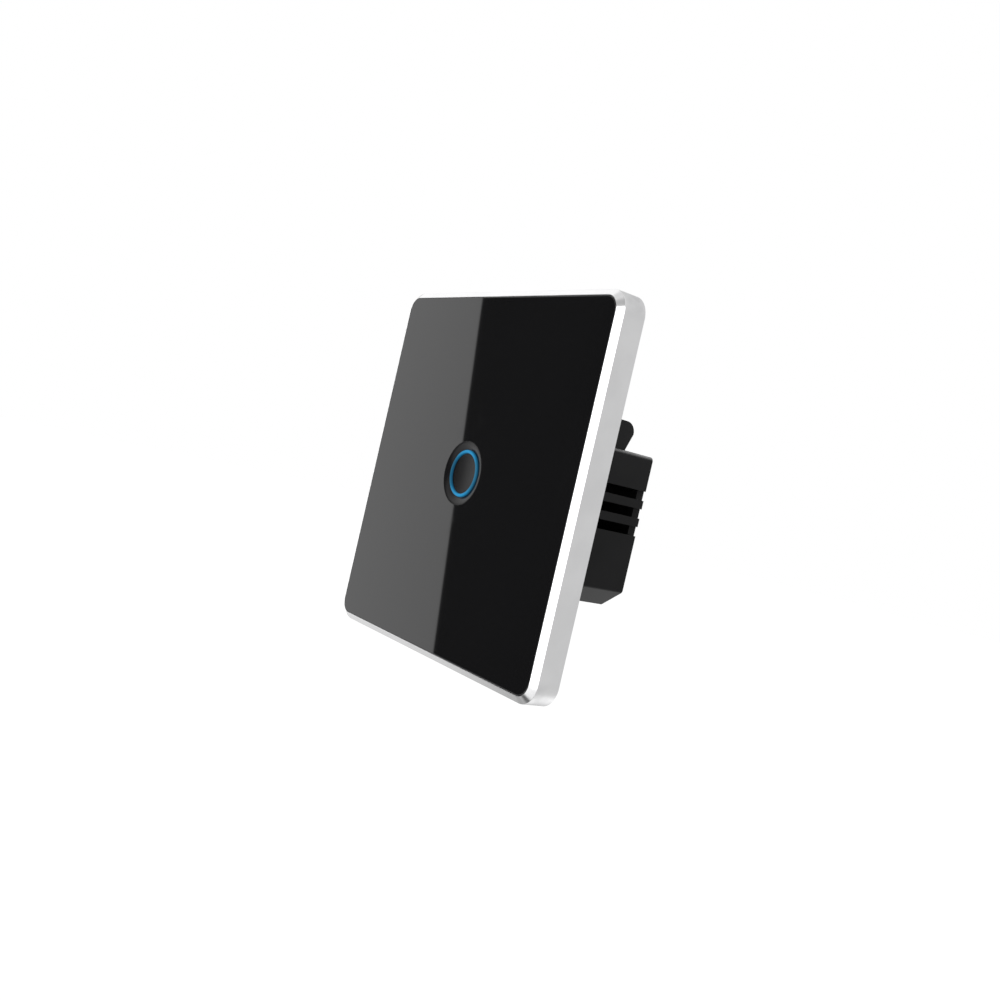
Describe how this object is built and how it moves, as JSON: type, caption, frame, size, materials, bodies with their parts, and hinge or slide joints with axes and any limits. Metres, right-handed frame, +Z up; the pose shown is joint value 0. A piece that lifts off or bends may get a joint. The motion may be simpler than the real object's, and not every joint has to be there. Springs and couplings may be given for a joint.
{
  "type": "smart water heater switch",
  "caption": "Square glass touch wall switch for a water heater: silver frame, finger dish with a blue ring of light, and a black module for the wall box.",
  "frame": {"origin": "midpoint of the two box screws, on the wall surface", "axes": "+Y into the wall, away from the glass; +Z up as the switch hangs on the wall; +X to the right as seen from the room"},
  "size_m": [0.086, 0.0367, 0.086],
  "materials": {
    "black_glass": "polished, black behind",
    "blue_diffuser": "translucent blue",
    "foam_tape": "matt",
    "silver_trim": "satin anodised",
    "black_moulding": "fine texture",
    "zinc_steel": "zinc plated",
    "natural_nylon": "moulded",
    "screw_steel": "zinc plated",
    "housing_plastic": "fine spark texture",
    "terminal_plastic": "moulded",
    "brass": "bright",
    "tinned_copper": "tinned",
    "board_laminate": "solder mask",
    "spring_steel": "bright",
    "clear_acrylic": "clear",
    "lamp_white": "gloss",
    "chip_black": "matt",
    "tin_plate": "tin plated",
    "header_plastic": "moulded",
    "relay_plastic": "moulded",
    "copper_wire": "enamelled wire",
    "relay_iron": "nickel plated",
    "ferrite": "sintered",
    "capacitor_sleeve": "shrunk sleeve",
    "film_case": "moulded",
    "varistor_coat": "dipped",
    "fuse_case": "moulded"
  },
  "bodies": {
    "module": {"front_cover": "black_moulding", "light_shroud": "black_moulding", "mounting_plate": "zinc_steel", "peg_bushes": "natural_nylon", "housing_screws": "screw_steel", "rear_housing": "housing_plastic", "terminal_block_1": "terminal_plastic", "terminal_block_2": "terminal_plastic", "terminal_block_3": "terminal_plastic", "terminal_block_4": "terminal_plastic", "terminal_busbars": "tinned_copper", "touch_board": "board_laminate", "power_board": "board_laminate", "radio_board": "board_laminate", "touch_spring": "spring_steel", "light_guide": "clear_acrylic", "status_leds": "lamp_white", "touch_chip": "chip_black", "power_chip": "chip_black", "board_socket": "chip_black", "radio_shield": "tin_plate", "board_pins": "header_plastic", "relay_base": "relay_plastic", "relay_case": "relay_plastic", "relay_coil": "copper_wire", "transformer_winding": "copper_wire", "relay_yoke": "relay_iron", "relay_contact": "relay_iron", "transformer_core": "ferrite", "filter_choke": "ferrite", "bulk_capacitor": "capacitor_sleeve", "suppression_capacitor": "film_case", "varistor": "varistor_coat", "fuse": "fuse_case"},
    "front_panel": {"glass_panel": "black_glass", "ring_diffuser": "blue_diffuser", "glass_tape": "foam_tape", "trim_frame": "silver_trim", "panel_carrier": "black_moulding"},
    "screw_1": {"terminal_screw_1": "screw_steel"},
    "clamp_1": {"terminal_clamp_1": "brass"},
    "screw_2": {"terminal_screw_2": "screw_steel"},
    "clamp_2": {"terminal_clamp_2": "brass"},
    "screw_3": {"terminal_screw_3": "screw_steel"},
    "clamp_3": {"terminal_clamp_3": "brass"},
    "screw_4": {"terminal_screw_4": "screw_steel"},
    "clamp_4": {"terminal_clamp_4": "brass"},
    "relay_rocker": {"relay_armature": "relay_iron"}
  },
  "joints": [
    {"name": "panel_pull", "type": "slide", "parent": "module", "child": "front_panel", "axis": [0, -1, 0], "range_m": [0, 0.012]},
    {"name": "terminal_turn_1", "type": "hinge", "parent": "module", "child": "screw_1", "pos_m": [-0.01507, 0.0193, 0.0164], "axis": [0, -1, 0], "range_deg": [0, 1440]},
    {"name": "clamp_lift_1", "type": "slide", "parent": "module", "child": "clamp_1", "axis": [0, 1, 0], "range_m": [0, 0.0024]},
    {"name": "terminal_turn_2", "type": "hinge", "parent": "module", "child": "screw_2", "pos_m": [-0.00502, 0.0193, 0.0164], "axis": [0, -1, 0], "range_deg": [0, 1440]},
    {"name": "clamp_lift_2", "type": "slide", "parent": "module", "child": "clamp_2", "axis": [0, 1, 0], "range_m": [0, 0.0024]},
    {"name": "terminal_turn_3", "type": "hinge", "parent": "module", "child": "screw_3", "pos_m": [0.00502, 0.0193, 0.0164], "axis": [0, -1, 0], "range_deg": [0, 1440]},
    {"name": "clamp_lift_3", "type": "slide", "parent": "module", "child": "clamp_3", "axis": [0, 1, 0], "range_m": [0, 0.0024]},
    {"name": "terminal_turn_4", "type": "hinge", "parent": "module", "child": "screw_4", "pos_m": [0.01507, 0.0193, 0.0164], "axis": [0, -1, 0], "range_deg": [0, 1440]},
    {"name": "clamp_lift_4", "type": "slide", "parent": "module", "child": "clamp_4", "axis": [0, 1, 0], "range_m": [0, 0.0024]},
    {"name": "relay_rock", "type": "hinge", "parent": "module", "child": "relay_rocker", "pos_m": [-0.01, 0.0215, 0.0022], "axis": [-1, 0, 0], "range_deg": [0, 2.5], "stiffness_Nm_per_rad": 0.03, "springref_deg": -2.86}
  ],
  "couplings": [
    {"joint": "terminal_turn_1", "follows": "clamp_lift_1", "rad_per_m": 10472},
    {"joint": "terminal_turn_2", "follows": "clamp_lift_2", "rad_per_m": 10472},
    {"joint": "terminal_turn_3", "follows": "clamp_lift_3", "rad_per_m": 10472},
    {"joint": "terminal_turn_4", "follows": "clamp_lift_4", "rad_per_m": 10472}
  ]
}
